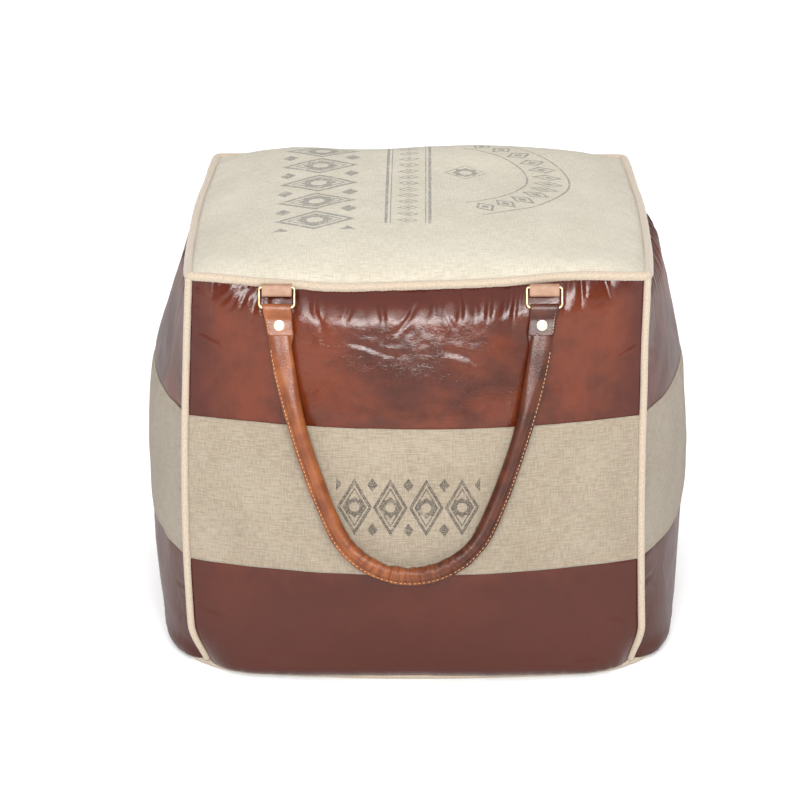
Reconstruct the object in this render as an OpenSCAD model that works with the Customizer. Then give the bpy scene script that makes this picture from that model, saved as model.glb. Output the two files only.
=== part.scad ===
// Square leather and canvas pouf with two carrying handles.
// Millimetres. +Z is up, the front faces -Y, and the origin is on the floor under the middle.

/* [Cover] */
// Half width of the pouf at its fullest point
half_width = 257; // [252:1:262]
// Half width between the upright corner seams
corner_half = 208; // [204:1:212]
// Radius of the upright bulge of each side
side_r = 857; // [850:1:870]
// Height of the fullest point
waist_z = 160; // [155:1:165]
// Height of the seam around the top
top_seam_z = 378; // [376:0.5:380]
// Rise of the middle of the top panel above its seam
crown_rise = 29; // [26:1:32]
// Thickness of the leather and canvas panels
panel_t = 1.8; // [1.2:0.1:2]
// Lower edge of the canvas band
band_low = 110; // [90:1:120]
// Upper edge of the canvas band
band_high = 250; // [240:1:262]

/* [Piping] */
// Radius of the piping around the top
top_welt_r = 4.3; // [3.8:0.1:4.4]
// Radius of the piping down each corner
corner_welt_r = 3.3; // [2.6:0.1:3.4]
// Radius of the piping around the bottom
bottom_welt_r = 4.2; // [3.8:0.1:4.4]
// Thickness of the canvas sleeve around the piping cord
sleeve_t = 1; // [0.8:0.1:1.2]

/* [Handles] */
// Distance of each ring from the middle of its handle
ring_x = 121.5; // [118:0.5:126]
// How far each handle is sewn to the left of the middle of its side
handle_off = 8; // [0:1:12]
// Radius of the ring's wire
wire_r = 1.25; // [1:0.05:1.3]
// Width of a ring, between the centres of its wires
ring_w = 32; // [31:0.5:34]
// Height of a ring, between the centres of its wires
ring_h = 18.5; // [18:0.1:20]
// Radius of the round part of the handle
grip_r = 6.3; // [6:0.1:6.5]
// Width of the stitched edge along the outside of the grip
fin_w = 3.6; // [3:0.1:4]
// Radius of the lowest bend of the handle
bend_r = 74; // [70:1:76]
// Radius of the long gentle curve of each arm
arm_r = 650; // [600:10:700]
// Thickness of the doubled strap at each end of the handle
strap_t = 2.2; // [1.8:0.1:2.4]

/* [Zip] */
// Length of the zip in the bottom
zip_len = 300; // [260:10:320]
// Half width of the opening that the zip closes
zip_gap = 6; // [5.6:0.1:7]

/* [Hidden] */
$fn = 96;
far = 400;
fit = 0.1;

// Each side rolls in by shoulder at the top seam, from shoulder_z up, and by under at the floor.
shoulder = 15.7;
shoulder_z = 345;
under = 14;
under_z = 30;
inner_gap = 4;
fill_gap = 1.4;
liner_t = 0.8;
liner_floor = 8.9;
top_welt_out = 1.4;
bottom_welt_out = 1;
corner_welt_out = 0.8;
across = 14;

bottom_welt_z = 3.7;
side_low = bottom_welt_z + bottom_welt_r + fit;
side_high = top_seam_z - top_welt_r - fit;
edge_inset = 3.4;
corner_gap = 2.7;
knot = 0.45;

// The ring hangs in its tab from tab_p and leans out by ring_lean; the handle hangs from strap_p.
ring_lean = 25;
tab_p = [0, -222.8, 376.5];
strap_p = tab_p + ring_h * [0, -sin(ring_lean), -cos(ring_lean)];
tab_w = 27.4;
tab_hole_r = wire_r + 0.3;
tab_t = 1.4;
tail_slope = 18;
tail_len = 10.3;
notch_z = 369.8;
ring_low_round = 4;
ring_high_round = 2;

strap_hole_r = wire_r + 0.15;
strap_r = strap_hole_r + strap_t;
strap_w = 23.6;
strap_lean = 16;
grip_lean = 6.1;
flap_len = 25;
flap_low = 9;
arm_low = 24;
arm_high = 8.9;
strap_drop = 39;
strap_shift = 5.5;
strap_end = 31;
shoulder_low = 2;
// The grip is a little thinner round its lowest bend, which starts lap degrees up each arm.
bend_slack = 0.15;
lap = 0.6;
cord_high = arm_high + 0.3;
core_r = 4.8;
core_hole_r = 5;
fin_t = 3;
rivet_drop = 16;
rivet_r = 1.8;
cap_r = 4.8;

zip_end = zip_len / 2 + 5;
panel_low = 4.6;
panel_high = panel_low + 1.5;
tape_t = 0.8;
coil_in = 0.6;
coil_out = 3.1;
tape_out = 17;
slider_x = zip_len / 2 - 14;
pin_z = 1.6;
pin_r = 0.5;

LEATHER = "#7a3b1e";
HANDLE_LEATHER = "#94491f";
CANVAS = "#d8cdb4";
TAN = "#c49a72";
BRASS = "#c9ab6a";

// ---- Shared shapes ----

// Half width of the middle of a side at height z.
function profile(z) = half_width - side_r + sqrt(side_r * side_r - pow(z - waist_z, 2))
    - shoulder * pow(max(0, (z - shoulder_z) / (top_seam_z - shoulder_z)), 2)
    - under * pow(max(0, 1 - z / under_z), 2);

// How far out a side is at height z, at the fraction u of the way from its middle to its corner.
function cover_out(u, z) = corner_half + (profile(z) - corner_half) * (1 - u * u);

// The square outline of the cover at height z, a distance inset inside it, as 2D points.
function outline(z, inset) = [
    for (i = [0:3], j = [0:across - 1])
        let (u = 2 * j / across - 1, s = u * (corner_half - inset), out = cover_out(u, z) - inset)
        [s * cos(90 * i) + out * sin(90 * i), s * sin(90 * i) - out * cos(90 * i)]
];

// The same outline shrunk by the factor f and set at height z, as 3D points.
function ring_at(z, inset, f, high) = [for (p = outline(z, inset)) [p.x * f, p.y * f, high]];

function rise_at(f) = crown_rise * sqrt(1 - f * f * f);

// Rings from the top seam, over the crown, to just short of its middle.
function crown_rings(inset, drop) = [
    for (f = [1, 0.98, 0.93, 0.85, 0.72, 0.5, 0.25])
        ring_at(top_seam_z, inset, f, top_seam_z - drop + rise_at(f))
];

// Rings up the sides, from height low to just under the top seam.
function wall_rings(inset, low) = [
    for (z = [low, 20, 30, 60, 110, 160, 210, 260, 310, 345, 360, 370])
        ring_at(z, inset, 1, z)
];

function reversed(list) = [for (i = [len(list) - 1:-1:0]) list[i]];

// A solid through rings of equally many points, closed by its first and last ring.
module loft(rings) {
    n = len(rings[0]);
    last = len(rings) - 1;
    polyhedron(
        points = [for (ring = rings) each ring],
        faces = concat(
            [[for (j = [0:n - 1]) j]],
            [[for (j = [n - 1:-1:0]) last * n + j]],
            [for (k = [0:last - 1], j = [0:n - 1]) [k * n + j, (k + 1) * n + j, (k + 1) * n + (j + 1) % n]],
            [for (k = [0:last - 1], j = [0:n - 1]) [k * n + j, (k + 1) * n + (j + 1) % n, k * n + (j + 1) % n]]
        ));
}

// A strip of the cover on side number i, where 0 is the front and the others follow anticlockwise.
module side_strip(i, low, high) {
    up = 5;
    reach = 1 - corner_gap / corner_half;
    rotate(90 * i) loft([
        for (j = [0:across])
            let (u = reach * (2 * j / across - 1), s = u * corner_half)
            concat(
                [for (k = [0:up]) let (z = low + (high - low) * k / up) [s, panel_t - cover_out(u, z), z]],
                [for (k = [up:-1:0]) let (z = low + (high - low) * k / up) [s, -cover_out(u, z), z]])
    ]);
}

// A tube bent round an arc in the XZ plane, from angle a0 to a1 above +X.
module arc_tube(arc_r, a0, a1) {
    rotate([90, 0, 0]) rotate(a0) rotate_extrude(angle = a1 - a0)
        translate([arc_r, 0]) children();
}

// Four level arcs of tube around the pouf at height z, standing out from the cover's seam there,
// with a knot of extra stuff at each corner.
module seam_ring(z, out, tube_r, knot_r) {
    corner = corner_half + out;
    bulge = profile(z) - corner_half;
    r = (corner * corner + bulge * bulge) / (2 * bulge);
    half = asin(corner / r);
    for (i = [0:3]) rotate(90 * i) {
        translate([corner + bulge - r, 0, z]) rotate(-half) rotate_extrude(angle = 2 * half)
            translate([r, 0]) circle(tube_r);
        translate([corner, corner, z]) sphere(knot_r);
    }
}

// An upright post of the corner seam; number i stands between side i and side i + 1.
module corner_post(i, tube_r, low, high) {
    rotate(90 * i) translate([corner_half + corner_welt_out, -corner_half - corner_welt_out, low])
        cylinder(h = high - low, r = tube_r);
}

// ---- Inside ----

module filling() {
    inset = inner_gap + liner_t + fill_gap;
    color("white") loft(concat(
        wall_rings(inset, liner_floor + liner_t + fill_gap), crown_rings(inset, inset)));
}

// The bag's sides and top.
module liner_bag() {
    inner = inner_gap + liner_t;
    low = liner_floor + liner_t + fit;
    color("ivory") loft(concat(
        reversed(concat(wall_rings(inner, low), crown_rings(inner, inner))),
        wall_rings(inner_gap, low), crown_rings(inner_gap, inner_gap)));
}

// The bag's bottom.
module liner_base() {
    color("ivory") translate([0, 0, liner_floor]) linear_extrude(liner_t)
        polygon(outline(liner_floor, inner_gap));
}

// ---- Cover ----

module top_panel() {
    color(CANVAS) loft(concat(
        reversed(crown_rings(edge_inset, panel_t)),
        crown_rings(edge_inset, 0)));
}

// A side's upper leather; on the front and rear it is notched where each tab enters the seam.
module upper_leather(i, notched) {
    notch = tab_w + 2 * fit;
    color(LEATHER) difference() {
        side_strip(i, band_high, side_high);
        if (notched) rotate(90 * i) for (x = [-ring_x, ring_x])
            translate([x - handle_off - notch / 2, -260, notch_z]) cube([notch, 60, 40]);
    }
}

module canvas_band(i) {
    color(CANVAS) side_strip(i, band_low, band_high);
}

module lower_leather(i) {
    color(LEATHER) side_strip(i, side_low, band_low);
}

// Half of the bottom; turn is 0 for the front half and 180 for the rear half.
module bottom_panel(turn) {
    color(CANVAS) rotate(turn) translate([0, 0, panel_low]) linear_extrude(panel_high - panel_low)
        difference() {
            intersection() {
                polygon(outline(bottom_welt_z, edge_inset));
                translate([-far, -far]) square([2 * far, far - fit / 2]);
            }
            translate([-zip_end, -zip_gap]) square([2 * zip_end, 2 * zip_gap]);
        }
}

// ---- Piping ----

module top_ring(tube_r, knot_r) {
    seam_ring(top_seam_z, top_welt_out, tube_r, knot_r);
}

module top_piping() {
    color(CANVAS) difference() {
        top_ring(top_welt_r, top_welt_r + knot);
        top_ring(top_welt_r - sleeve_t, top_welt_r - sleeve_t + knot / 2);
    }
}

// One section of a level cord of radius r on side i, at the fraction u from its middle to its corner.
function cord_section(i, u, z, out, r, around) =
    let (corner = corner_half + out, bulge = profile(z) - corner_half)
    let (x = u * corner, y = -corner - bulge * (1 - u * u), side_x = u == -1 ? -sqrt(0.5) : 0)
    let (side_y = -sqrt(1 - side_x * side_x))
    [for (j = [0:around - 1])
        let (a = 360 * j / around, px = x + r * cos(a) * side_x, py = y + r * cos(a) * side_y)
        [px * cos(90 * i) - py * sin(90 * i), px * sin(90 * i) + py * cos(90 * i), z + r * sin(a)]];

// A closed cord all the way round the pouf at height z.
module level_cord(z, out, r) {
    around = 12;
    per_side = 8;
    count = 4 * per_side;
    sections = [for (i = [0:3], k = [0:per_side - 1]) cord_section(i, 2 * k / per_side - 1, z, out, r, around)];
    polyhedron(
        points = [for (section = sections) each section],
        faces = [for (k = [0:count - 1], j = [0:around - 1])
            let (next = (k + 1) % count, turn = (j + 1) % around)
            each [[k * around + j, k * around + turn, next * around + j],
                [k * around + turn, next * around + turn, next * around + j]]]);
}

module top_piping_cord() {
    color("white") level_cord(top_seam_z, top_welt_out, top_welt_r - sleeve_t - 2 * fit);
}

module bottom_ring(tube_r, knot_r) {
    seam_ring(bottom_welt_z, bottom_welt_out, tube_r, knot_r);
}

// Squashed flat where it stands on the floor.
module bottom_piping() {
    color(CANVAS) difference() {
        bottom_ring(bottom_welt_r, bottom_welt_r + knot);
        bottom_ring(bottom_welt_r - sleeve_t, bottom_welt_r - sleeve_t + knot / 2);
        translate([-far, -far, -20]) cube([2 * far, 2 * far, 20]);
    }
}

module bottom_piping_cord() {
    color("white") bottom_ring(bottom_welt_r - sleeve_t - fit, bottom_welt_r - sleeve_t - fit + knot / 3);
}

corner_low = side_low + 4 * fit;
corner_high = side_high - 2.5;

module corner_piping(i) {
    color(CANVAS) difference() {
        corner_post(i, corner_welt_r, corner_low, corner_high);
        corner_post(i, corner_welt_r - sleeve_t, corner_low - 2, corner_high + 2);
    }
}

module corner_piping_cords() {
    color("white") for (i = [0:3])
        corner_post(i, corner_welt_r - sleeve_t - fit, corner_low, corner_high);
}

// ---- Handles ----

// The children at the place of ring end = -1 (left) or 1 (right), at the front or turned to the rear.
module at_ring(turn, end) {
    rotate(turn) translate([end * ring_x - handle_off, 0, 0]) children();
}

// A short leather loop: its tail goes in under the top piping and its eye holds the ring.
module tab(turn, end) {
    eye_r = tab_hole_r + tab_t;
    color(TAN) at_ring(turn, end) translate([-tab_w / 2, tab_p.y, tab_p.z]) rotate([90, 0, 90])
        linear_extrude(tab_w) difference() {
            union() {
                circle(eye_r);
                rotate(-tail_slope) translate([0, 0.1 - eye_r]) square([tail_len, 2 * tab_t - 0.1]);
            }
            circle(tab_hole_r);
        }
}

// One round bend of the ring's wire, about the point p, from angle a0 to a0 + 90.
module ring_bend(p, r, a0) {
    translate(p) arc_tube(r, a0, a0 + 90) circle(wire_r);
}

// A wire rectangle that hangs from its upper bar, with rounder lower corners.
module ring_shape() {
    w = ring_w / 2;
    lo = ring_low_round;
    hi = ring_high_round;
    for (s = [-1, 1]) translate([s * w, 0, lo - ring_h]) cylinder(h = ring_h - lo - hi, r = wire_r);
    translate([hi - w, 0, 0]) rotate([0, 90, 0]) cylinder(h = ring_w - 2 * hi, r = wire_r);
    translate([lo - w, 0, -ring_h]) rotate([0, 90, 0]) cylinder(h = ring_w - 2 * lo, r = wire_r);
    ring_bend([w - hi, 0, -hi], hi, 0);
    ring_bend([hi - w, 0, -hi], hi, 90);
    ring_bend([lo - w, 0, lo - ring_h], lo, 180);
    ring_bend([w - lo, 0, lo - ring_h], lo, 270);
}

module ring(turn, end) {
    color(BRASS) at_ring(turn, end) translate(tab_p) rotate([-ring_lean, 0, 0]) ring_shape();
}

// The outline of the folded strap seen from the front; its middle line leans inwards as it goes down.
module strap_outline(end) {
    w = strap_w / 2;
    low_x = -end * strap_shift * strap_end / strap_drop;
    polygon([[-w, 6], [w, 6], [w, -2], [low_x + w - 1.5, -strap_end],
             [low_x - w + 1.5, -strap_end], [-w, -2]]);
}

// The strap end folded round the ring's lower bar, with its flap riveted down in front.
module strap(end) {
    rotate([-strap_lean, 0, 0]) difference() {
        intersection() {
            rotate([90, 0, 90]) translate([0, 0, -20]) linear_extrude(40) difference() {
                union() {
                    circle(strap_r);
                    translate([strap_hole_r, -strap_end - 2]) square([strap_t, strap_end + 2]);
                    polygon([[-strap_r + 0.25, -1.2], [strap_hole_r - strap_t, -flap_low],
                             [strap_hole_r - strap_t, -flap_len], [strap_hole_r + 1, -flap_len],
                             [strap_hole_r + 1, 0]]);
                }
                circle(strap_hole_r);
            }
            rotate([90, 0, 0]) translate([0, 0, -20]) linear_extrude(40) strap_outline(end);
        }
        rivet_place(end) rotate([-90, 0, 0]) translate([0, 0, -20]) cylinder(h = 40, r = rivet_r + 0.05);
    }
}

module rivet_place(end) {
    translate([-end * strap_shift * rivet_drop / strap_drop, 0, -rivet_drop]) children();
}

// The handle's curve, about the middle of its lowest bend, in the plane of the grip.
grip_half = bend_r * cos(arm_low) + arm_r * (cos(arm_high) - cos(arm_low));
grip_rise = bend_r * (1 - sin(arm_low)) + arm_r * (sin(arm_low) - sin(arm_high));
// Where the strap's back meets the grip's back, under strap_p.
grip_top = [0, -strap_drop * tan(strap_lean), -strap_drop]
    + [0, strap_r / cos(strap_lean), 0];

// The children placed in the plane of the grip, with the lowest bend's centre at the origin.
module in_grip_plane() {
    translate(grip_top) rotate([-grip_lean, 0, 0])
        translate([0, -grip_r, -grip_rise + bend_r]) children();
}

// The first child swept along both arms, up to angle top_a, and the second along the bend.
module along_grip(top_a) {
    reach = (arm_r - bend_r) * [cos(arm_low), 0, -sin(arm_low)];
    in_grip_plane() {
        arc_tube(bend_r, 180 + arm_low - lap, 360 - arm_low + lap) children(1);
        translate(-reach) arc_tube(arm_r, -arm_low, -top_a) children(0);
        translate([reach.x, 0, -reach.z]) arc_tube(arm_r, 180 + top_a, 180 + arm_low) children(0);
    }
}

// The round leather tube with the stitched edge that closes it on the outside of the curve.
module grip_section(slack) {
    circle(grip_r - slack);
    translate([0, -fin_t / 2 + slack]) square([grip_r + fin_w - slack, fin_t - 2 * slack]);
}

// The taper from the flat strap to the round grip, wide enough to take in the top of the grip.
module shoulder(end) {
    hull() {
        in_grip_plane() translate([end * grip_half, 0, grip_rise - bend_r])
            rotate([0, end * arm_high, 0]) translate([0, 0, -shoulder_low]) linear_extrude(shoulder_low) {
                circle(grip_r + 0.3, $fn = 24);
                translate([end > 0 ? 0 : -grip_r - fin_w - 0.2, -fin_t / 2 - 0.2])
                    square([grip_r + fin_w + 0.2, fin_t + 0.4]);
            }
        rotate([-strap_lean, 0, 0]) translate([end * (ring_x - strap_shift) - strap_w / 2 + 1.5,
            strap_hole_r, -strap_end - 1]) cube([strap_w - 3, strap_t, 2]);
    }
}

module handle(turn) {
    color(HANDLE_LEATHER) rotate(turn) translate([-handle_off, strap_p.y, strap_p.z]) {
        difference() {
            along_grip(arm_high) {
                grip_section(0);
                grip_section(bend_slack);
            }
            along_grip(arm_high + 0.1) {
                circle(core_hole_r);
                circle(core_hole_r - bend_slack);
            }
        }
        for (end = [-1, 1]) {
            shoulder(end);
            translate([end * ring_x, 0, 0]) strap(end);
        }
    }
}

module handle_cord(turn) {
    color("white") rotate(turn) translate([-handle_off, strap_p.y, strap_p.z]) along_grip(cord_high) {
        circle(core_r);
        circle(core_r - bend_slack);
    }
}

// A tubular rivet: a shank through both layers, a domed cap in front and a flat one behind.
module rivet() {
    front = strap_hole_r - strap_t;
    rotate([-90, 0, 0]) {
        translate([0, 0, front]) cylinder(h = strap_r - front, r = rivet_r);
        translate([0, 0, strap_r]) cylinder(h = 0.8, r = 3.8);
        intersection() {
            translate([0, 0, front - 1.4]) cylinder(h = 1.4, r = cap_r);
            translate([0, 0, front - 1.4 + 12]) sphere(12);
        }
    }
}

module handle_rivets(turn) {
    color(BRASS) rotate(turn) translate([-handle_off, strap_p.y, strap_p.z])
        for (end = [-1, 1]) translate([end * ring_x, 0, 0]) rotate([-strap_lean, 0, 0])
            rivet_place(end) rivet();
}

// ---- Zip ----

// The front side of the zip is at -Y, and turn 180 makes the rear side.
module zip_tape(turn) {
    color(CANVAS) rotate(turn) translate([-zip_end, -tape_out, panel_high])
        cube([2 * zip_end, tape_out - coil_out, tape_t]);
}

module zip_coil(turn) {
    color(TAN) rotate(turn) translate([-zip_len / 2, -coil_out, panel_low])
        cube([zip_len, coil_out - coil_in, panel_high + tape_t - panel_low]);
}

module zip_stops() {
    stop = 3;
    color(BRASS) for (s = [-1, 1])
        translate([s * (zip_len / 2 + stop / 2 + fit) - stop / 2, -coil_out + fit, panel_low])
            cube([stop, 2 * (coil_out - fit), panel_high - panel_low]);
}

module zip_slider() {
    half = 5.2;
    len = 12;
    color(BRASS) translate([slider_x, 0, 0]) {
        translate([-len / 2, -half, 2.9]) cube([len, 2 * half, 1]);
        translate([-len / 2, -half, panel_high + tape_t + 0.5]) cube([len, 2 * half, 1]);
        translate([len / 2 - 3, -0.4, 2.9]) cube([3, 0.8, panel_high + tape_t + 1.5 - 2.9]);
        for (s = [-1, 1]) translate([-len / 2, s * (half - 0.5) - 0.5, 3.8]) cube([len, 1, 1.9]);
        for (s = [-1, 1]) translate([-1.3, s * 2.6 - 0.4, 0.7]) cube([2.6, 0.8, 2.3]);
        translate([0, 3, pin_z]) rotate([90, 0, 0]) cylinder(h = 6, r = pin_r);
    }
}

module zip_pull() {
    color(BRASS) translate([slider_x, 0, pin_z]) rotate([90, 0, 0]) translate([0, 0, -2])
        linear_extrude(4) difference() {
            union() {
                circle(1.2);
                translate([0, -0.5]) square([24, 1]);
            }
            circle(pin_r + 0.08);
        }
}

// ---- Nodes ----

filling();
liner_bag();
liner_base();
top_panel();
bottom_panel(0);  // bottom_panel_front
bottom_panel(180);  // bottom_panel_rear
upper_leather(0, true);  // front_upper_leather
upper_leather(1, false);  // right_upper_leather
upper_leather(2, true);  // rear_upper_leather
upper_leather(3, false);  // left_upper_leather
canvas_band(0);  // front_canvas_band
canvas_band(1);  // right_canvas_band
canvas_band(2);  // rear_canvas_band
canvas_band(3);  // left_canvas_band
lower_leather(0);  // front_lower_leather
lower_leather(1);  // right_lower_leather
lower_leather(2);  // rear_lower_leather
lower_leather(3);  // left_lower_leather
top_piping();
bottom_piping();
corner_piping(0);  // front_right_piping
corner_piping(1);  // rear_right_piping
corner_piping(2);  // rear_left_piping
corner_piping(3);  // front_left_piping
top_piping_cord();
bottom_piping_cord();
corner_piping_cords();
// The rear set is the front set turned half way round, which swaps its left and right.
tab(0, -1);  // front_left_tab
tab(0, 1);  // front_right_tab
tab(180, 1);  // rear_left_tab
tab(180, -1);  // rear_right_tab
ring(0, -1);  // front_left_ring
ring(0, 1);  // front_right_ring
ring(180, 1);  // rear_left_ring
ring(180, -1);  // rear_right_ring
handle(0);  // front_handle
handle(180);  // rear_handle
handle_cord(0);  // front_handle_cord
handle_cord(180);  // rear_handle_cord
handle_rivets(0);  // front_handle_rivets
handle_rivets(180);  // rear_handle_rivets
zip_tape(0);  // zip_tape_front
zip_tape(180);  // zip_tape_rear
zip_coil(0);  // zip_coil_front
zip_coil(180);  // zip_coil_rear
zip_stops();
zip_slider();
zip_pull();
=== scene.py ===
"""The looks of the square leather and canvas pouf: stuffed panels, piping, handles and their materials."""

import math
from functools import partialmethod

import bpy
import numpy as np
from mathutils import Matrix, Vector


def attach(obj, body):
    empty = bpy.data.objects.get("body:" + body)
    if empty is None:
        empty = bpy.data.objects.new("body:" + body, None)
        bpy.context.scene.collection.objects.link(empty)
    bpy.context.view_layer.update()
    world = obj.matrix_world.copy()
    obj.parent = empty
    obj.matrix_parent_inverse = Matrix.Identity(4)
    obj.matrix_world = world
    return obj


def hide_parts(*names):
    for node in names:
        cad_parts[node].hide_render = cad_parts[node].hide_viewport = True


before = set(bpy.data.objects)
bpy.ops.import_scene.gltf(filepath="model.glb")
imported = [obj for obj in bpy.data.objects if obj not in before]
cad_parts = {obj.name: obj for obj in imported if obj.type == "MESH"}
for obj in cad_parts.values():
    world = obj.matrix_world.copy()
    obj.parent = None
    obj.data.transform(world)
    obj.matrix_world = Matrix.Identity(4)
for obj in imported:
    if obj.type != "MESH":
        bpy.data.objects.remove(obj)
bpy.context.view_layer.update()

MM = 0.001

# ---- The pouf's own shape, in millimetres, as the frame has it ----

HALF_WIDTH = 257
CORNER_HALF = 208
SIDE_R = 857
WAIST_Z = 160
TOP_Z = 378
CROWN_RISE = 29
SHOULDER = 15.7
SHOULDER_Z = 345
UNDER = 14
UNDER_Z = 30
BAND_LOW = 110
BAND_HIGH = 250
BOTTOM_Z = 3.7

RING_X = 121.5
HANDLE_OFF = 8
TAB = (-222.8, 376.5)
RING_H = 18.5
RING_LEAN = 25
STRAP_LEAN = 16
GRIP_LEAN = 6.1

SIDES = ("front", "right", "rear", "left")
STEP = 2.0


# ---- Small helpers ----

def smooth(value, low, high):
    """0 below low, 1 above high and an even curve between them."""
    t = np.clip((value - low) / (high - low), 0, 1)
    return t * t * (3 - 2 * t)


def noise(x, y, seed):
    """Smooth noise from -1 to 1 whose lumps are one unit across."""
    lattice = np.random.default_rng(seed).uniform(-1, 1, (64, 64))
    x, y = np.broadcast_arrays(np.asarray(x, float), np.asarray(y, float))
    column = np.floor(x).astype(int)
    row = np.floor(y).astype(int)
    fx = smooth(x - column, 0, 1)
    fy = smooth(y - row, 0, 1)

    def across(r):
        return lattice[r % 64, column % 64] * (1 - fx) + lattice[r % 64, (column + 1) % 64] * fx

    return across(row) * (1 - fy) + across(row + 1) * fy


def xyz(x, y, z):
    """Points from three coordinates, each a number or a grid."""
    return np.stack(np.broadcast_arrays(x, y, z), axis=-1)


def unit(vectors):
    """The vectors, one to a row, scaled to length 1."""
    return vectors / np.linalg.norm(vectors, axis=1, keepdims=True)


def ridges(x, y, seed):
    """Noise with narrow valleys, from -1 in a valley to 1."""
    return 2 * np.sqrt(np.abs(noise(x, y, seed))) - 1


def turn(points, quarters):
    """The points turned anticlockwise by a number of quarter turns about the upright axis."""
    points = np.asarray(points, float)
    angle = quarters * math.pi / 2
    c, s = round(math.cos(angle)), round(math.sin(angle))
    x = points[..., 0] * c - points[..., 1] * s
    y = points[..., 0] * s + points[..., 1] * c
    return xyz(x, y, points[..., 2])


def grid_faces(rows, columns, closed_rows=False, closed_columns=False):
    """Four-sided faces over a grid of points that is stored row by row."""
    r = np.arange(rows if closed_rows else rows - 1)
    c = np.arange(columns if closed_columns else columns - 1)
    r, c = np.meshgrid(r, c, indexing="ij")
    r2 = (r + 1) % rows
    c2 = (c + 1) % columns
    quads = [r * columns + c, r * columns + c2, r2 * columns + c2, r2 * columns + c]
    return np.stack([q.ravel() for q in quads], axis=1)


def make_piece(name, points, faces, st, material, node=None, body="cover"):
    """A mesh object from points in millimetres; faces is a list of arrays with one face to a row."""
    mesh = bpy.data.meshes.new(name)
    points = np.asarray(points, float).reshape(-1, 3) * MM
    mesh.vertices.add(len(points))
    mesh.vertices.foreach_set("co", points.ravel())
    corners = np.concatenate([np.asarray(f).ravel() for f in faces])
    sizes = np.concatenate([np.full(len(f), np.asarray(f).shape[1]) for f in faces])
    mesh.loops.add(len(corners))
    mesh.loops.foreach_set("vertex_index", corners.astype(np.int32))
    mesh.polygons.add(len(sizes))
    starts = np.concatenate([[0], np.cumsum(sizes)[:-1]])
    mesh.polygons.foreach_set("loop_start", starts.astype(np.int32))
    mesh.update(calc_edges=True)
    mesh.validate()
    mesh.shade_smooth()
    place = mesh.attributes.new("st", "FLOAT_VECTOR", "POINT")
    place.data.foreach_set("vector", (np.asarray(st, float).reshape(-1, 3)).ravel())
    mesh.materials.append(material)
    piece = bpy.data.objects.new(name, mesh)
    bpy.context.scene.collection.objects.link(piece)
    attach(piece, body)
    if node:
        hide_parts(node)
    return piece


def slab_faces(rows, columns):
    """Faces of a sheet with thickness: an outer grid, an inner grid after it, and the rim."""
    count = rows * columns
    outer = grid_faces(rows, columns)
    inner = outer[:, ::-1] + count
    index = np.arange(count).reshape(rows, columns)
    rim = np.concatenate([index[0, :], index[1:, -1], index[-1, -2::-1], index[-2:0:-1, 0]])
    after = np.roll(rim, -1)
    edge = np.stack([after, rim, rim + count, after + count], axis=1)
    return [np.concatenate([outer, inner, edge])]


def sheet_piece(name, outer, inner, st, material, node):
    """A sheet with thickness, from the grids of points of its two sides."""
    faces = slab_faces(*outer.shape[:2])
    return make_piece(name, [outer, inner], faces, [st, st], material, node)


def sweep(path, section_out, section_up, up, closed=False):
    """Points of a tube: section_out and section_up are grids of offsets, one row to a point of the path."""
    path = np.asarray(path, float)
    if closed:
        ahead = np.roll(path, -1, axis=0) - np.roll(path, 1, axis=0)
    else:
        ahead = np.gradient(path, axis=0)
    ahead = unit(ahead)
    up = np.broadcast_to(np.asarray(up, float), path.shape)
    up = unit(up - (up * ahead).sum(axis=1, keepdims=True) * ahead)
    out = np.cross(ahead, up)
    return path[:, None] + section_out[..., None] * out[:, None] + section_up[..., None] * up[:, None]


def tube_faces(rows, columns, closed=False):
    """Faces of a tube; one that isn't closed gets a face at each end."""
    faces = [grid_faces(rows, columns, closed_rows=closed, closed_columns=True)]
    if not closed:
        faces.append(np.arange(columns)[None, ::-1])
        faces.append(np.arange(columns)[None, :] + (rows - 1) * columns)
    return faces


def path_length(path):
    """How far along the path each of its points is."""
    steps = np.linalg.norm(np.diff(path, axis=0), axis=1)
    return np.concatenate([[0], np.cumsum(steps)])


def resample(path, step, closed=False):
    """The same path with its points an even distance apart."""
    if closed:
        path = np.concatenate([path, path[:1]])
    along = path_length(path)
    count = max(4, int(round(along[-1] / step)) + 1)
    at = np.linspace(0, along[-1], count)
    even = np.stack([np.interp(at, along, path[:, k]) for k in range(3)], axis=1)
    return even[:-1] if closed else even


def soften(path, reach, closed):
    """The path with its bends rounded over a number of points."""
    offsets = np.arange(-3 * reach, 3 * reach + 1)
    weights = np.exp(-0.5 * (offsets / reach) ** 2)
    weights /= weights.sum()
    mode = "wrap" if closed else "edge"
    padded = np.pad(path, ((3 * reach, 3 * reach), (0, 0)), mode=mode)
    return np.stack([np.convolve(padded[:, k], weights, mode="valid") for k in range(3)], axis=1)


# ---- The cover's surface ----

def profile(z):
    """How far the middle of a side is from the upright axis at height z."""
    z = np.asarray(z, float)
    bulge = HALF_WIDTH - SIDE_R + np.sqrt(SIDE_R ** 2 - (z - WAIST_Z) ** 2)
    roll = SHOULDER * np.clip((z - SHOULDER_Z) / (TOP_Z - SHOULDER_Z), 0, None) ** 2
    tuck = UNDER * np.clip(1 - z / UNDER_Z, 0, None) ** 2
    return bulge - roll - tuck


def cover_out(s, z):
    """How far the cover is from the axis at distance s from a side's middle line."""
    u = s / CORNER_HALF
    return CORNER_HALF + (profile(z) - CORNER_HALF) * (1 - u * u)


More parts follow.
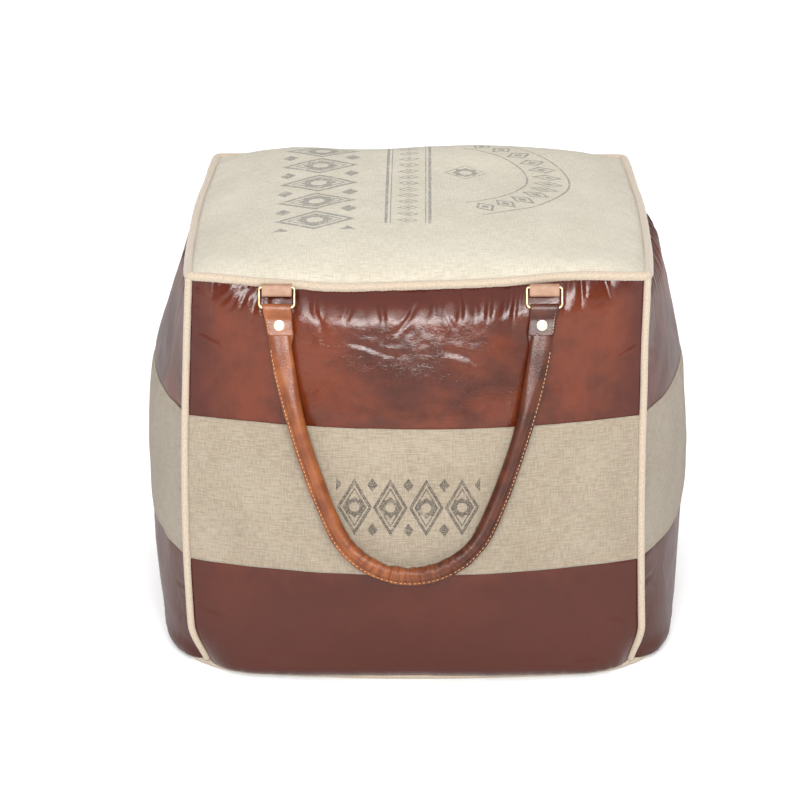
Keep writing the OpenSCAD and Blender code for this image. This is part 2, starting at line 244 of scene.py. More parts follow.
# How the top seam rises and falls along each side, from its left corner to its right corner.
SEAM_WAVES = {
    "front": ([-208, -185, -152, -113, -81, -45, 0, 46, 91, 114, 148, 208],
              [6, 2.5, 0.5, -1.4, -4.8, -3.8, -1.8, -0.8, 1.8, 4.8, 7, 5.5]),
    "right": ([-208, -150, -60, 40, 120, 208], [5.5, 1.5, -3, 0.5, -2, 3]),
    "rear": ([-208, -130, -50, 30, 110, 208], [3, 1, -3, -1, 2.5, 4]),
    "left": ([-208, -130, -40, 50, 140, 208], [4, -1.5, 1, -3.5, 0.5, 6]),
}


def seam_wave(side, s):
    places, rises = SEAM_WAVES[SIDES[side]]
    fine = np.linspace(-CORNER_HALF, CORNER_HALF, 209)
    rough = np.interp(fine, places, rises)
    weights = np.exp(-0.5 * (np.arange(-24, 25) / 7) ** 2)
    eased = np.convolve(np.pad(rough, 24, mode="edge"), weights / weights.sum(), mode="valid")
    return np.interp(s, fine, eased)


# How far each upright seam has shifted: its corner, the shift at mid height and the shift at the top.
CORNER_SHIFTS = (
    ((1, -1), (-4, 0), (-1, 0)), ((1, 1), (-3, -1), (-7, -2)),
    ((-1, 1), (4, 0), (9, -2)), ((-1, -1), (-7.5, 1), (-1, 0)),
)
# How far the upper part of each side has sunk in.
SIDE_SLUMP = (0, 4, 5, 10)


def settle(points):
    """The cover as it has slumped: uneven upright seams and a wavy top seam."""
    points = np.array(points, float)
    x, y, z = np.moveaxis(points, -1, 0).copy()
    height = np.clip(z / TOP_Z, 0, 1)
    belly = np.sin(math.pi * height ** 0.85)
    upper = smooth(height, 0.5, 1)
    for (sx, sy), middle, top in CORNER_SHIFTS:
        near_x = np.clip((1 + sx * x / CORNER_HALF) / 2, 0, 1) ** 2
        near = near_x * np.clip((1 + sy * y / CORNER_HALF) / 2, 0, 1) ** 2
        points[..., 0] += near * (middle[0] * belly + top[0] * upper)
        points[..., 1] += near * (middle[1] * belly + top[1] * upper)
    beyond = np.clip(np.minimum(np.abs(x), np.abs(y)) - 150, 0, None) / 58
    foot = 13 * np.clip(beyond, 0, 1.1) ** 2 * (1 - smooth(z, -6, 46))
    points[..., 0] -= np.sign(x) * foot
    points[..., 1] -= np.sign(y) * foot
    total = np.zeros_like(x)
    rise = np.zeros_like(x)
    for side in range(4):
        local = turn(xyz(x, y, z), -side)
        weight = smooth(-local[..., 1], 130, 208) ** 1.5
        total += weight
        rise += weight * seam_wave(side, local[..., 0])
    points[..., 2] += rise / np.maximum(total, 1) * smooth(z, 290, TOP_Z - 3)
    return points


# Folds pressed into the front: from (s, z) to (s, z), width and depth.
FRONT_FOLDS = (
    (-152, 374, -163, 352, 2.6, 1.5), (-158, 373, -172, 350, 2.4, 1.3), (-165, 371, -181, 353, 2.4, 0.9),
    (-145, 371, -149, 346, 2.4, 0.8), (-2, 362, -24, 334, 2.2, 0.8), (26, 354, 34, 338, 2, 0.6),
    (37, 372, 39, 346, 2.6, 1.7), (52, 372, 52, 352, 2.4, 1), (65, 372, 62, 342, 2.8, 1.4),
    (81, 373, 76, 350, 2.4, 1.2), (90, 374, 84, 336, 2.8, 1.2), (97, 374, 92, 352, 2.2, 1),
    (-96, 371, -88, 340, 3, 0.9), (-60, 369, -66, 345, 2.6, 0.8), (-36, 369, -30, 344, 2.6, 0.7),
    (12, 371, 8, 350, 2.6, 0.9), (146, 376, 152, 350, 2.6, 0.9), (170, 375, 178, 352, 2.4, 0.9),
    (-60, 330, -20, 318, 3, 0.5), (30, 322, 62, 308, 3.5, 0.5), (-196, 330, -170, 318, 3, 0.7),
    (198, 318, 176, 306, 3, 0.7), (-199, 66, -172, 58, 4, 0.25), (197, 52, 170, 62, 4, 0.25),
)


def fold(s, z, s0, z0, s1, z1, width, depth):
    """A soft valley along a line, deepest near its start, with a lip on each side."""
    length = math.hypot(s1 - s0, z1 - z0)
    ds, dz = (s1 - s0) / length, (z1 - z0) / length
    along = ((s - s0) * ds + (z - z0) * dz) / length
    wobble = 1.2 * noise(along * 2.5, s0 / 10, 7)
    across = (s - s0) * dz - (z - z0) * ds + wobble
    fade = smooth(along, -0.25, 0.1) * (1 - smooth(along, 0.35, 1.1))
    valley = np.exp(-(across / width) ** 2)
    lips = np.exp(-(across / (2.4 * width)) ** 2)
    return depth * fade * (0.9 * lips - 1.7 * valley)


def seeded_folds(side):
    """Folds like the front's, for a side that nobody has seen from the front."""
    chance = np.random.default_rng(400 + side)
    folds = []
    for _ in range(20):
        s0 = chance.uniform(-195, 195)
        length = chance.uniform(16, 38)
        drift = chance.uniform(-12, 12)
        folds.append((s0, 374, s0 + drift, 374 - length, chance.uniform(2.2, 3), chance.uniform(0.7, 1.6)))
    for _ in range(6):
        edge = chance.choice([-1, 1])
        z0 = chance.uniform(40, 340)
        folds.append((edge * 199, z0, edge * 172, z0 + chance.uniform(-16, 16), 3, chance.uniform(0.5, 0.9)))
    return folds


def slump(side, s, z):
    """How far the stuffing has spread a side at its foot and sunk in under the top."""
    u = s / CORNER_HALF
    foot = 20 * (u ** 2 - u ** 6) * (1 - smooth(z, 12, 100))
    foot = foot + 4.5 * np.exp(-((z - 10) / 9) ** 2) * (1 - u ** 8)
    return foot - SIDE_SLUMP[side] * smooth(z, 250, 352) * (1 - u ** 4)


def relief(side, s, z, leather):
    """How far the panel stands out from the smooth cover, in millimetres."""
    below_top = TOP_Z - z
    beside = CORNER_HALF - np.abs(s)
    seed = 20 * side
    out = 1.5 * noise(s / 78, z / 70, seed + 1) * smooth(beside, 0, 60)
    out += 0.7 * noise(s / 31 + 4, z / 27, seed + 2)
    out += slump(side, s, z)
    near_top = np.exp(-np.clip(below_top, 0, None) / 22)
    fan = s + 0.25 * below_top * noise(s / 60, 0.5, seed + 3)
    out += (2.1 if leather else 1) * near_top * ridges(fan / 13, z / 120, seed + 4)
    near_side = np.exp(-beside / 13)
    out += 1.1 * near_side * ridges(z / 15 + 0.02 * s, s / 90, seed + 5)
    near_low = np.exp(-np.clip(z - 6, 0, None) / 14)
    out += 0.9 * near_low * ridges(s / 16, z / 80, seed + 6)
    seam = np.minimum(np.abs(z - BAND_LOW), np.abs(z - BAND_HIGH))
    out -= 0.7 * np.exp(-(seam / 7) ** 2)
    out += 0.35 * np.exp(-seam / 8) * noise(s / 11, z / 40, seed + 7)
    if leather:
        crumple = ridges(s / 9 + 0.6 * noise(s / 20, z / 20, seed + 8), z / 9, seed + 9)
        patches = smooth(noise(s / 45, z / 40, seed + 10), -0.5, 0.5)
        out += 0.3 * crumple * patches * (0.4 + 0.6 * smooth(z, 290, 340))
        out += 0.09 * noise(s / 4, z / 4, seed + 11)
        for line in FRONT_FOLDS if side == 0 else seeded_folds(side):
            out += 1.5 * fold(s, z, *line)
    else:
        out += 0.1 * noise(s / 5, z / 9, seed + 12)
    return out * smooth(beside, 0.5, 6)


def side_points(side, s, z, extra, leather):
    """Points of a side's surface, moved out by extra."""
    out = cover_out(s, z) + relief(side, s, z, leather) + extra
    return settle(turn(xyz(s, -out, z), side))


def side_st(side, s, z):
    """Places on the flat panel in metres; the third number is the distance to the nearest seam."""
    beside = np.minimum(CORNER_HALF - np.abs(s), np.abs(TOP_Z - z))
    beside = np.minimum(beside, np.abs(z))
    return xyz(s, z, beside) * MM + np.array([side * 1.0, 0, 0])


def side_grid(low, high):
    """A grid over a side between two heights, a little short of its upright seams."""
    reach = CORNER_HALF - 2
    columns = int(2 * reach / STEP) + 1
    rows = int((high - low) / STEP) + 1
    return np.meshgrid(np.linspace(low, high, rows), np.linspace(-reach, reach, columns), indexing="ij")


def leather_panel(side, kind, low, high, material):
    """A side's leather panel, thinned where it runs under the canvas band."""
    z, s = side_grid(low, high)
    tucked = -0.9 * smooth(z, BAND_LOW - 1, BAND_LOW + 1) * (1 - smooth(z, BAND_HIGH - 1, BAND_HIGH + 1))
    outer = side_points(side, s, z, tucked, True)
    inner = side_points(side, s, z, tucked - 1.5, True)
    name = f"{SIDES[side]}_{kind}"
    sheet_piece(f"{name}_skin", outer, inner, side_st(side, s, z), material, name)


def canvas_band(side, material):
    """A side's canvas band, with a hem along its upper and lower edges."""
    z, s = side_grid(BAND_LOW, BAND_HIGH)
    edge = np.minimum(z - BAND_LOW, BAND_HIGH - z)
    hem = 0.95 * smooth(edge, -0.8, 1.4) - 0.35 * np.exp(-((edge - 5) / 1.6) ** 2)
    outer = side_points(side, s, z, hem + 0.15, False)
    inner = side_points(side, s, z, -0.5, False)
    name = f"{SIDES[side]}_canvas_band"
    sheet_piece(f"{name}_cloth", outer, inner, side_st(side, s, z), material, name)


def stitch_points(centre, along, up, half_length, radius):
    """One stitch: a bead pulled long, with its ends sunk."""
    stations = np.array([-1, -0.6, 0, 0.6, 1])
    sizes = np.array([0.35, 0.9, 1, 0.9, 0.35]) * radius
    lift = np.array([-0.9, -0.1, 0.25, -0.1, -0.9]) * radius
    across = np.cross(along, up)
    angles = np.arange(6) * math.pi / 3
    middle = centre + stations[:, None] * half_length * along + lift[:, None] * up
    ring = np.cos(angles)[:, None] * across + np.sin(angles)[:, None] * up
    return middle[:, None] + sizes[:, None, None] * ring[None]


def stitches(name, centres, alongs, ups, half_length, radius, material, body="cover"):
    """Many stitches as one mesh."""
    count = len(centres)
    points = np.stack([stitch_points(*place, half_length, radius) for place in zip(centres, alongs, ups)])
    size = points[0, ..., 0].size
    one = tube_faces(*points.shape[1:3])
    faces = [np.concatenate([part + size * k for k in range(count)]) for part in one]
    make_piece(name, points, faces, np.zeros((count * size, 3)), material, body=body)


def band_stitches(side, material):
    """A row of stitches along each hem of a side's band."""
    s = np.arange(-200, 201, 3.1)
    rows = []
    for z in (BAND_LOW + 5, BAND_HIGH - 5):
        level = np.full_like(s, z)
        here = side_points(side, s, level, 0.85, False)
        along = unit(side_points(side, s + 0.5, level, 0.85, False) - here)
        higher = side_points(side, s, level + 0.5, 0.85, False)
        rows.append((here, along, unit(np.cross(along, higher - here))))
    places = [np.concatenate(part) for part in zip(*rows)]
    stitches(f"{SIDES[side]}_band_stitches", *places, 1.1, 0.32, material)


# ---- Top and bottom panels ----

TOP_EDGE = CORNER_HALF - 1.5
# Lumps in the stuffing under the top: x, y, reach and height.
TOP_LUMPS = (
    (45, 168, 90, 11), (-150, 172, 70, 9), (150, 172, 60, 6), (-60, 40, 90, 1.5), (120, -60, 80, 1.5),
    (-130, -120, 60, 1.5),
)


def top_height(p, q, x, y):
    """Height of the top panel over the place p, q, which each run from -1 to 1 between the seams."""
    pillow = np.sqrt(np.clip((1 - np.abs(p) ** 3.2) * (1 - np.abs(q) ** 3.2), 0, 1))
    rise = (CROWN_RISE - 2) * pillow
    for cx, cy, reach, height in TOP_LUMPS:
        rise += height * pillow * np.exp(-((x - cx) ** 2 + (y - cy) ** 2) / reach ** 2)
    rise += 1.3 * pillow * noise(x / 62, y / 62, 90) + 0.5 * pillow * noise(x / 27, y / 27, 91)
    for along, edge, seed in ((x, 1 - np.abs(q), 92), (y, 1 - np.abs(p), 93)):
        near = np.exp(-edge * TOP_EDGE / 15) * smooth(edge, 0, 0.02)
        rise += near * noise(along / 11, edge * 3, seed)
    return rise


def square_place(p, q, edge, bulge):
    """The place p, q of a square whose sides bow out by bulge."""
    return p * (edge + bulge * (1 - q * q)), q * (edge + bulge * (1 - p * p))


def top_panel(material):
    """The top, with its grid closer together near the seam."""
    count = int(2 * TOP_EDGE / STEP) + 1
    line = np.sin(np.linspace(-1, 1, count) * math.pi / 2 * 0.82) / math.sin(math.pi / 2 * 0.82)
    q, p = np.meshgrid(line, line, indexing="ij")
    x, y = square_place(p, q, TOP_EDGE, 5)
    z = TOP_Z + top_height(p, q, x, y)
    outer = settle(xyz(x, y, z))
    inner = outer - np.array([0, 0, 1.6])
    beside = np.minimum(1 - np.abs(p), 1 - np.abs(q)) * TOP_EDGE
    sheet_piece("top_panel_cloth", outer, inner, xyz(x, y, beside) * MM, material, "top_panel")


def bottom_panel(half, material):
    """Half of the bottom; its inner edge is turned back along the zip."""
    edge = CORNER_HALF - 3.2
    bulge = 20.3
    p = np.linspace(-1, 1, 181)[None, :]
    v = np.linspace(0, 1, 81)[:, None]
    x = p * (edge + bulge * (1 - v * v))
    reach = edge + bulge * (1 - p * p)
    slot_edge = 0.3 + 5.9 * (1 - smooth(np.abs(x), 154.6, 157))
    y = -(slot_edge + v * (reach - slot_edge))
    crimp = 0.45 * np.exp(-(1 - v) * reach / 9) * noise(x / 9, v * 3, 120 + half)
    low = 4.65 + np.clip(crimp + 0.35 * noise(x / 40, y / 40, 130 + half), 0, 1.1) * smooth(1 - v, 0, 0.05)
    outer = settle(turn(xyz(x, y, low), 2 * half))
    inner = settle(turn(xyz(x, y, low + 1.2), 2 * half))
    name = "bottom_panel_rear" if half else "bottom_panel_front"
    sheet_piece(f"{name}_cloth", outer, inner, xyz(x, y, (1 - v) * reach) * MM, material, name)


# ---- Piping ----

TOP_PIPING_R = 4.3
BOTTOM_PIPING_R = 3.4
CORNER_PIPING_R = 3.35
CORNER_CORD_R = 2.2


def ring_path(z, out, step):
    """The closed path of a level seam, with rounded corners."""
    corner = CORNER_HALF + out
    bulge = float(profile(z)) - CORNER_HALF
    u = np.linspace(-1, 1, 200)[:-1]
    one = xyz(u * corner, -(corner + bulge * (1 - u * u)), z)
    path = np.concatenate([turn(one, side) for side in range(4)])
    path = resample(path, 1.0, closed=True)
    path = soften(path, 4, True)
    return resample(path, step, closed=True)


def tube(name, path, radius, sides, material, closed, up, node, twist=0.0, seed=0, flat_at=None,
         body="cover"):
    """A round cord or piping along a path; twist is the depth of its slanting ridges."""
    angles = np.linspace(0, 2 * math.pi, sides, endpoint=False)[None, :]
    along = path_length(np.concatenate([path, path[:1]]) if closed else path)[: len(path), None]
    size = np.asarray(radius, float) * np.ones_like(along)
    gather = 0.6 * np.sin(angles + along * 2 * math.pi / 3.7 + 2 * noise(along / 14, 0.5, seed))
    gather = gather + 0.7 * noise(along / 5.5, angles / 1.3, seed + 1) * np.cos(angles / 2) ** 2
    size = size * (1 + twist * gather + 0.5 * twist * noise(along / 25, 0.5, seed + 2))
    points = sweep(path, size * np.cos(angles), size * np.sin(angles), up, closed)
    if flat_at is not None:
        points[..., 2] = np.maximum(points[..., 2], flat_at)
    st = xyz(along, angles * size, 0) * MM
    make_piece(name, points, tube_faces(len(path), sides, closed), st, material, node, body)


def seam_piping(materials):
    """The piping round the top and round the bottom, each a canvas sleeve on a cord."""
    canvas_look, cord_look = materials["piping"], materials["cord"]
    up = (0, 0, 1)
    top = settle(ring_path(TOP_Z, 1.4, 0.9))
    tube("top_piping_sleeve", top, TOP_PIPING_R, 18, canvas_look, True, up, "top_piping",
         0.055, 140)
    tube("top_piping_core", top[::3], 3.1, 8, cord_look, True, up, "top_piping_cord")
    low = settle(ring_path(BOTTOM_Z - 0.6, 0.2, 1.4))
    tube("bottom_piping_sleeve", low, BOTTOM_PIPING_R, 14, canvas_look, True, up, "bottom_piping",
         0.03, 150, flat_at=0)
    tube("bottom_piping_core", low[::3], 2.3, 8, cord_look, True, up, "bottom_piping_cord")


def corner_path(corner, low, high, step):
    """Corner 0 stands between the front and the right side; the others follow anticlockwise."""
    z = np.arange(low, high, step)
    sway = 0.5 * noise(z / 45, 0.5, 160 + corner)
    place = CORNER_HALF + 0.8
    return settle(turn(xyz(place + sway, -place, z), corner))


def corner_piping(materials):
    """The four upright seams' piping; their cords are one piece, as they are in the frame."""
    names = ("front_right_piping", "rear_right_piping", "rear_left_piping", "front_left_piping")
    cords, faces = [], []
    for corner, name in enumerate(names):
        up = turn(np.array([1.0, -1.0, 0.0]), corner)
        path = corner_path(corner, 7, TOP_Z - 1, 0.9)
        tube(f"{name}_sleeve", path, CORNER_PIPING_R, 16, materials["piping"], False, up, name,
             0.05, 170 + 5 * corner)
        core = path[4:-4:4]
        angles = np.linspace(0, 2 * math.pi, 8, endpoint=False)[None, :] + np.zeros((len(core), 1))
        points = sweep(core, CORNER_CORD_R * np.cos(angles), CORNER_CORD_R * np.sin(angles), up)
        start = sum(len(part) for part in cords)
        faces += [part + start for part in tube_faces(len(core), 8)]
        cords.append(points.reshape(-1, 3))
    cords = np.concatenate(cords)
    make_piece("corner_piping_cores", cords, faces, cords * MM, materials["cord"], "corner_piping_cords")


# ---- Stuffing ----

def body_shell(inset, low, lumps, seed):
    """Rings up the sides and over the top of a shape that lies inset inside the cover."""
    rings = []
    heights = list(np.arange(low, 366, 6.0)) + [369, 372]
    u = np.linspace(-1, 1, 60, endpoint=False)
    for z in heights:
        s = u * (CORNER_HALF - inset - 3)
        level = np.full_like(s, z)
        ring = []
        for side in range(4):
            out = cover_out(s, level) + slump(side, s, level) - inset
            out = out - 3 * np.abs(u) ** 6 + lumps * noise(s / 30, z / 30, seed)
            ring.append(turn(xyz(s, -out, level), side))
        rings.append(np.concatenate(ring))
    for f in (0.985, 0.96, 0.92, 0.85, 0.75, 0.6, 0.42, 0.22, 0.05):
        edge = TOP_EDGE - inset - 1
        p, q, _ = np.concatenate([turn(xyz(u * f, -f, 0), side) for side in range(4)]).T
        x, y = square_place(p, q, edge, 5)
        z = TOP_Z - inset - 1.5 + top_height(p, q, x, y) + lumps * 0.6 * noise(x / 30, y / 30, seed)
        rings.append(xyz(x, y, z))
    return settle(np.stack(rings))


def shell_piece(name, node, inset, low, thick, lumps, material):
    """A shape inside the cover: a hollow one with an open bottom, or a solid one where thick is 0."""
    rings = body_shell(inset, low, lumps, 200)
    rows, columns = rings.shape[:2]
    faces = [grid_faces(rows, columns, closed_columns=True)]
    faces.append(np.arange(columns)[None, :] + (rows - 1) * columns)
    points = rings
    if thick:
        inner = body_shell(inset + thick, low, lumps, 200)
        count = rows * columns
        points = np.stack([rings, inner])
        faces = faces + [part[:, ::-1] + count for part in faces]
        rim = np.arange(columns)
        after = np.roll(rim, -1)
        faces.append(np.stack([after, rim, rim + count, after + count], axis=1))
    else:
        faces.append(np.arange(columns)[None, ::-1])
    return make_piece(name, points, faces, np.asarray(points) * MM, material, node)


def stuffing(materials):
    """The filling and the two parts of its liner bag."""
    filling = shell_piece("filling_wad", "filling", 8.5, 12, 0, 1.0, materials["filling"])
    shell_piece("liner_bag_cloth", "liner_bag", 6.3, 11, 0.9, 0.4, materials["liner"])
    edge = CORNER_HALF - 8
    line = np.linspace(-1, 1, 90)
    q, p = np.meshgrid(line, line, indexing="ij")
    x, y = square_place(p, q, edge, 21)
    low = settle(xyz(x, y, 9.4 + 0.3 * noise(x / 20, y / 20, 210)))
    high = low + np.array([0, 0, 0.8])
    sheet_piece("liner_base_cloth", high, low, low * MM, materials["liner"], "liner_base")


# ---- Tabs ----

def lean_back(points, degrees):
    """Turns points that hang straight down so that they lean out to the front as they go down."""
    points = np.asarray(points, float)
    angle = math.radians(degrees)
    y = points[..., 1] * math.cos(angle) + points[..., 2] * math.sin(angle)
    z = -points[..., 1] * math.sin(angle) + points[..., 2] * math.cos(angle)
    return xyz(points[..., 0], y, z)


def hand(end):
    """The side that an end of a handle is on."""
    return "left" if end < 0 else "right"


def curve_through(places, step):
    """A smooth line through a few places."""
    places = np.asarray(places, float)
    ends = np.concatenate([[2 * places[0] - places[1]], places, [2 * places[-1] - places[-2]]])
    line = []
    for k in range(len(places) - 1):
        a, b, c, d = ends[k: k + 4]
        t = np.linspace(0, 1, 12, endpoint=False)[:, None]
        square, cube = 2 * a - 5 * b + 4 * c - d, 3 * b - a - 3 * c + d
        line.append(0.5 * (2 * b + (c - a) * t + square * t ** 2 + cube * t ** 3))
    line.append(places[-1:])
    return resample(np.concatenate(line), step)


def strip_section(half_width, thick, count=10):
    """The outline of a flat leather strip with rounded edges, as offsets across it and through it."""
    bend = np.linspace(-math.pi / 2, math.pi / 2, 5)
    r = thick / 2
    across = [np.cos(bend) * r + half_width - r, np.linspace(half_width - r, r - half_width, count)[1:-1]]
    through = [np.sin(bend) * r, np.full(count - 2, r)]
    across += [-across[0], -across[1]]
    through += [-through[0], -through[1]]
    return np.concatenate(across), np.concatenate(through)


def strip(name, path, half_widths, thick, material, node, body, tone, seed, place, shift=0):
    """A flat strip along a path in the upright plane x = 0, as wide as half_widths says at each point."""
    across = np.array([strip_section(half, thick)[0] for half in half_widths])
    through = np.broadcast_to(strip_section(half_widths[0], thick)[1], across.shape)
    along = path_length(path)[:, None]
    through = through * (1 + 0.10 * noise(across / 4, along / 4, seed))
    path = path + xyz(shift, 0, 0)
    ahead = np.gradient(path, axis=0)
    ahead[:, 0] = 0
    sideways = np.array([1.0, 0, 0])
    face = np.cross(unit(ahead), sideways)
    points = path[:, None] + across[..., None] * sideways + through[..., None] * face[:, None]
    st = xyz(across, along, tone / MM) * MM
    make_piece(name, place(points), tube_faces(*across.shape), st, material, node, body)


TAB_HALF = 13.6
TAB_T = 1.25
# The middle line of a tab from inside the top seam, round the ring's upper bar and back in.
TAB_LOOP = (
    (0, 11.8, -1.6), (0, 8, -0.2), (0, 4.5, 1.6), (0, 1.2, 2.4), (0, -1.5, 1.9), (0, -2.7, -0.2),
    (0, -3.3, -3.6), (0, -3.3, -6.2), (0, -2.2, -7.5), (0, -0.8, -6.6), (0, 0.4, -4.4), (0, 3, -3.5),
    (0, 7, -3.9), (0, 11.8, -4.6),
)


def tab(side_name, quarters, end, material):
    """The leather loop that holds a ring."""
    node = f"{side_name}_{hand(end)}_tab"
    path = curve_through(TAB_LOOP, 0.5)
    middle = np.array([end * RING_X - HANDLE_OFF, TAB[0], TAB[1]])

    def place(points):
        return turn(points + middle, quarters)

    widths = np.full(len(path), TAB_HALF)
    strip(f"{node}_strap", path, widths, TAB_T, material, node, "cover", 0,
          220 + end + quarters, place)


# ---- Handles ----

STRAP_DROP = 39
STRAP_SHIFT = 5.5
GRIP_R = 6.3
# Half the grip's width at its top, where it is flat, and how far below the path's end that is.
GRIP_TOP_HALF = 8.8
GRIP_START = 17
FIN_W = 3.6
BEND_R = 74
ARM_R = 650
ARM_LOW = math.radians(24)
ARM_HIGH = math.radians(8.9)


def strap_origin():
    """The middle between the two rings' lower bars."""
    lean = math.radians(RING_LEAN)
    return np.array([-HANDLE_OFF, TAB[0] - RING_H * math.sin(lean), TAB[1] - RING_H * math.cos(lean)])


def arm_curve():
    """The right arm in the plane of the grip, from its top down and round to the middle of the bend."""
    reach = ARM_R - BEND_R
    a = np.linspace(-ARM_HIGH, -ARM_LOW, 60)
    arm_x = -reach * math.cos(ARM_LOW) + ARM_R * np.cos(a)
    arm = np.stack([arm_x, reach * math.sin(ARM_LOW) + ARM_R * np.sin(a)], axis=1)
    b = np.linspace(-ARM_LOW, -math.pi / 2, 50)[1:]
    bend = np.stack([BEND_R * np.cos(b), BEND_R * np.sin(b)], axis=1)
    return np.concatenate([arm, bend])


def grip_depth(drop):
    """Half the thickness of the handle at a distance below the top of the grip."""
    return 2.2 + (GRIP_R - 2.2) * smooth(drop, -8, 74)


def grip_width(drop):
    """Half the width of the handle, without its stitched edge, at the same distance."""
    return GRIP_TOP_HALF + (GRIP_R - GRIP_TOP_HALF) * smooth(drop, -6, 96)


def half_path():
    """The centre line of the right half of the handle, from behind the flap to the bottom."""
    curve = arm_curve()
    rise = curve[0, 1]
    back = xyz(curve[:, 0], 0, curve[:, 1] - rise)
    drop = path_length(back)
    lean = math.radians(STRAP_LEAN)
    top = np.array([0, -STRAP_DROP * math.tan(lean) + 3.6 / math.cos(lean), -STRAP_DROP])
    centre = back + xyz(0, -grip_depth(drop), 0)
    centre = lean_back(centre, GRIP_LEAN) + top
    behind = []
    for down in (-22.0, -26.0, -30.0, -34.0):
        x = RING_X + STRAP_SHIFT * down / STRAP_DROP
        behind.append(lean_back(np.array([x, 1.45, down]), STRAP_LEAN))
    path = np.concatenate([np.array(behind), centre])
    path = resample(path, 1.0)
    return soften(path, 5, False)


def handle_path():
    """The centre line of the whole handle, from its left end to its right one."""
    right = half_path()
    left = right * np.array([-1, 1, 1])
    path = np.concatenate([left, right[::-1][1:]])
    return resample(path, 0.9)


def grip_section(along, total, angles, seed):
    """Distance of the handle's surface from its centre; angle 0 points out of the loop."""
    end = np.minimum(along, total - along)
    drop = end - GRIP_START
    deep = grip_depth(drop)
    wide = grip_width(drop)
    power = 3.4 - 1.3 * smooth(drop, -10, 60)
    c, s = np.cos(angles), np.sin(angles)
    body = ((np.abs(c) / wide) ** power + (np.abs(s) / deep) ** power) ** (-1 / power)
    fin = wide + FIN_W - 1.1 * (1 - smooth(drop, -10, 60)) + 0.25 * noise(along / 12, 0.5, seed)
    fin_half = 1.5 + 0.08 * noise(along / 3, s, seed + 1)
    with np.errstate(divide="ignore"):
        lip = np.minimum(fin / np.maximum(c, 1e-6), fin_half / np.maximum(np.abs(s), 1e-6))
    lip = np.where(c > 0.1, lip, 0)
    shape = (body ** 10 + np.minimum(lip, 14) ** 10) ** 0.1
    shape = np.minimum(shape, np.where(c > 0, fin, 99))
    low = smooth(end, total / 2 - 95, total / 2 - 20)
    inner = np.clip(-c + 0.55, 0, 1.2) / 1.2
    wrinkle = ridges(along / 5.2 + 0.6 * s, s * 1.2, seed + 2)
    crease = 1.0 * low * inner * wrinkle + 0.3 * low * noise(along / 3.1, s * 2 + 5, seed + 3)
    broad = 0.3 * noise(along / 28, s * 1.5 + 2, seed + 4) * smooth(drop, 0, 40)
    dent = -0.35 * np.exp(-((c * shape - wide - 0.2) / 0.9) ** 2) * (c > 0)
    return shape + crease + broad + dent


def handle_grip(side_name, quarters, materials):
    """The rolled leather grip, the rope core inside it and the stitches along its edge."""
    path = handle_path() + strap_origin()
    node = f"{side_name}_handle"
    along = path_length(path)
    total = along[-1]
    # More points where the stitched edge stands out.
    spread = np.linspace(-math.pi, math.pi, 49)[:-1]
    angles = spread + 0.35 * np.sin(spread - math.pi)
    normal = lean_back(np.array([0.0, -1.0, 0.0]), GRIP_LEAN)
    size = grip_section(along[:, None], total, angles[None, :], 230 + quarters)
    # sweep() puts its first offset along ahead x up, which points out of the loop here.
    points = sweep(path, size * np.cos(angles), size * np.sin(angles), normal)
    tone = smooth(path[:, 0] + HANDLE_OFF, -70, 95)[:, None]
    st = xyz(along[:, None] * MM, angles * GRIP_R * MM, tone)
    make_piece(f"{node}_grip", turn(points, quarters), tube_faces(*size.shape), st, materials["handle"],
               node, node)
    core = path[30:-30:4]
    depth = grip_depth(np.minimum(along, total - along) - GRIP_START)[30:-30:4]
    radius = np.minimum(4.6, depth - 1.6)[:, None]
    tube(f"{node}_core", turn(core, quarters), radius, 10, materials["cord"], False, turn(normal, quarters),
         f"{node}_cord", body=node)
    fin_stitches(node, path, normal, quarters, materials["thread"])


def fin_stitches(node, path, normal, quarters, material):
    """Stitches through the handle's edge, seen on its front and on its back."""
    along = path_length(path)
    total = along[-1]
    ahead = unit(np.gradient(path, axis=0))
    out = unit(np.cross(ahead, normal))
    up = np.cross(out, ahead)
    rows = []
    for place in np.arange(14, total - 14, 3.9):
        k = int(np.searchsorted(along, place))
        wide = grip_width(min(place, total - place) - GRIP_START)
        for face in (1, -1):
            centre = path[k] + out[k] * (wide + 1.75) + up[k] * face * 1.52
            rows.append((centre, ahead[k], up[k] * face))
    places = [turn(part, quarters) for part in zip(*rows)]
    stitches(f"{node}_stitches", *places, 1.25, 0.36, material, body=node)


# The middle line of the strap end round the ring's bar: x, y and z in the strap's own plane.
STRAP_LOOP = (
    (0, 0.15, -25.3), (0, 0.15, -18), (0, 0.1, -10.5), (0, -1.5, -6), (0, -2.5, -2), (0, -2.35, 1),
    (0, -0.9, 2.5), (0, 1.0, 2.45), (0, 2.3, 1.1), (0, 2.5, -2), (0, 2.5, -12), (0, 2.5, -24), (0, 2.4, -34),
)


